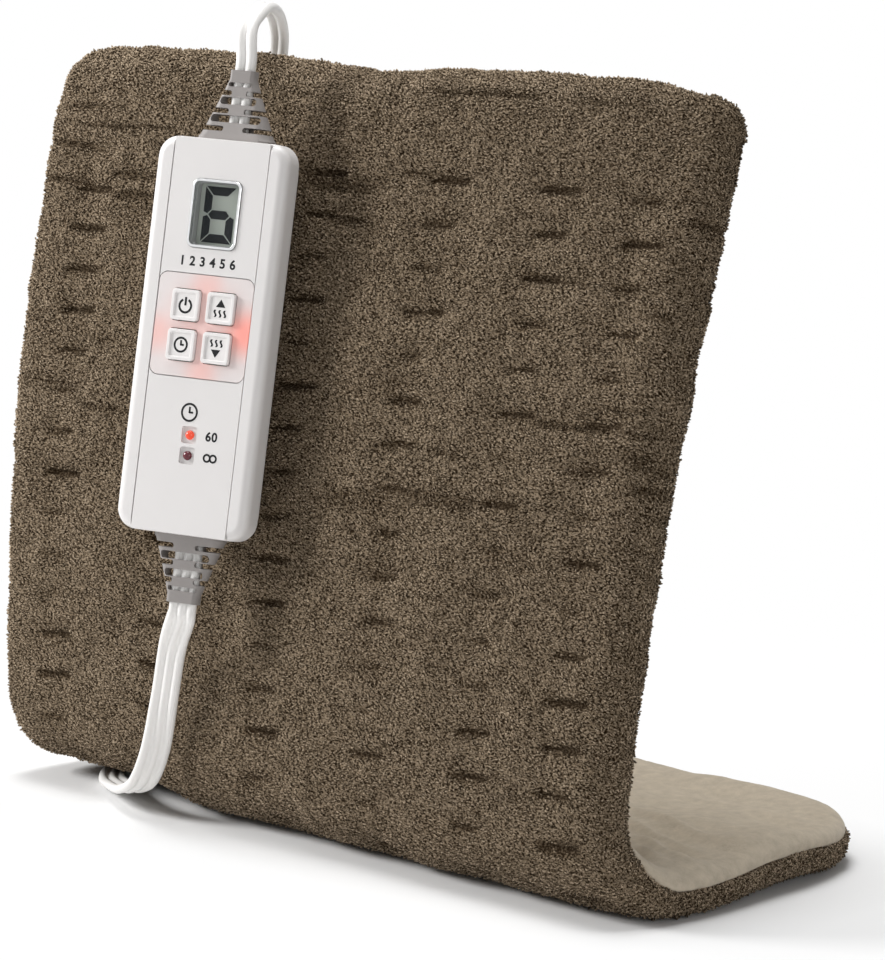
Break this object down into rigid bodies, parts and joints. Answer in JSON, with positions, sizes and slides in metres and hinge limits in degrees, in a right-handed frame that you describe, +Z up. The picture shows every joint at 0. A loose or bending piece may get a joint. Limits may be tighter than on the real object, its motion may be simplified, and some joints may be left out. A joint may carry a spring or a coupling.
{
  "type": "heating pad with controller",
  "caption": "Plush heating pad folded into an L so that it stands, with a white keypad controller hanging in front on flat cords, spare cord in coils and a plug behind.",
  "frame": {"origin": "on the surface that the pad stands on, under the middle of the box round the pad and its controller, free cords left out", "axes": "+Z up, +Y to the back where the folded base lies, X along the pad's width"},
  "size_m": [0.3654, 0.168, 0.2772],
  "materials": {
    "plush": "curly brown microplush",
    "fleece": "brushed beige fleece",
    "batting": "soft white batting",
    "wire": "insulated heating wire",
    "white_plastic": "satin white",
    "white_cord": "smooth white cord jacket",
    "grey_rubber": "matt grey",
    "lit_panel": "translucent, lit red from behind",
    "key_grey": "soft pale key",
    "chrome": "bright bezel",
    "clear_window": "clear",
    "lcd": "grey green display",
    "red_lens": "red lens",
    "dark_plastic": "dark moulded plastic",
    "board": "green circuit board",
    "ceramic": "tan capacitor case",
    "screw_steel": "plated screw",
    "blade": "plated plug blade"
  },
  "bodies": {
    "pad_and_case": {"plush_cover": "plush", "fleece_back": "fleece", "front_batting": "batting", "rear_batting": "batting", "heating_wire": "wire", "thermostat_base": "dark_plastic", "thermostat_back": "dark_plastic", "wire_junction": "white_plastic", "lead_gland": "grey_rubber", "front_housing": "white_plastic", "rear_housing": "white_plastic", "upper_face_strip": "white_plastic", "keypad_panel": "lit_panel", "lower_face_strip": "white_plastic", "lcd_bezel": "chrome", "lcd_window": "clear_window", "lcd_glass": "lcd", "lcd_connector": "dark_plastic", "indicator_on": "red_lens", "indicator_auto_off": "red_lens", "keypad_lamp_left": "red_lens", "keypad_lamp_right": "red_lens", "circuit_board": "board", "triac": "dark_plastic", "capacitor": "ceramic", "processor": "dark_plastic", "fuse": "clear_window", "mains_relief": "grey_rubber", "lead_relief": "grey_rubber", "mains_cord": "white_cord", "mains_coil": "white_cord", "mains_tail": "white_cord", "plug_body": "white_cord", "plug_blade_line": "blade", "plug_blade_neutral": "blade", "pad_lead": "white_cord", "lead_coil": "white_cord", "lead_tail": "white_cord", "switch_power": "dark_plastic", "switch_heat_up": "dark_plastic", "switch_timer": "dark_plastic", "switch_heat_down": "dark_plastic", "case_screw_upper_left": "screw_steel", "case_screw_upper_right": "screw_steel", "case_screw_lower_left": "screw_steel", "case_screw_lower_right": "screw_steel"},
    "key_power": {"button_power": "key_grey", "plunger_power": "dark_plastic"},
    "key_heat_up": {"button_heat_up": "key_grey", "plunger_heat_up": "dark_plastic"},
    "key_timer": {"button_timer": "key_grey", "plunger_timer": "dark_plastic"},
    "key_heat_down": {"button_heat_down": "key_grey", "plunger_heat_down": "dark_plastic"}
  },
  "joints": [
    {"name": "power_press", "type": "slide", "parent": "pad_and_case", "child": "key_power", "axis": [-0.3689, 0.9131, -0.1736], "range_m": [0, 0.0008], "stiffness_N_per_m": 1500},
    {"name": "heat_up_press", "type": "slide", "parent": "pad_and_case", "child": "key_heat_up", "axis": [-0.3689, 0.9131, -0.1736], "range_m": [0, 0.0008], "stiffness_N_per_m": 1500},
    {"name": "timer_press", "type": "slide", "parent": "pad_and_case", "child": "key_timer", "axis": [-0.3689, 0.9131, -0.1736], "range_m": [0, 0.0008], "stiffness_N_per_m": 1500},
    {"name": "heat_down_press", "type": "slide", "parent": "pad_and_case", "child": "key_heat_down", "axis": [-0.3689, 0.9131, -0.1736], "range_m": [0, 0.0008], "stiffness_N_per_m": 1500}
  ]
}
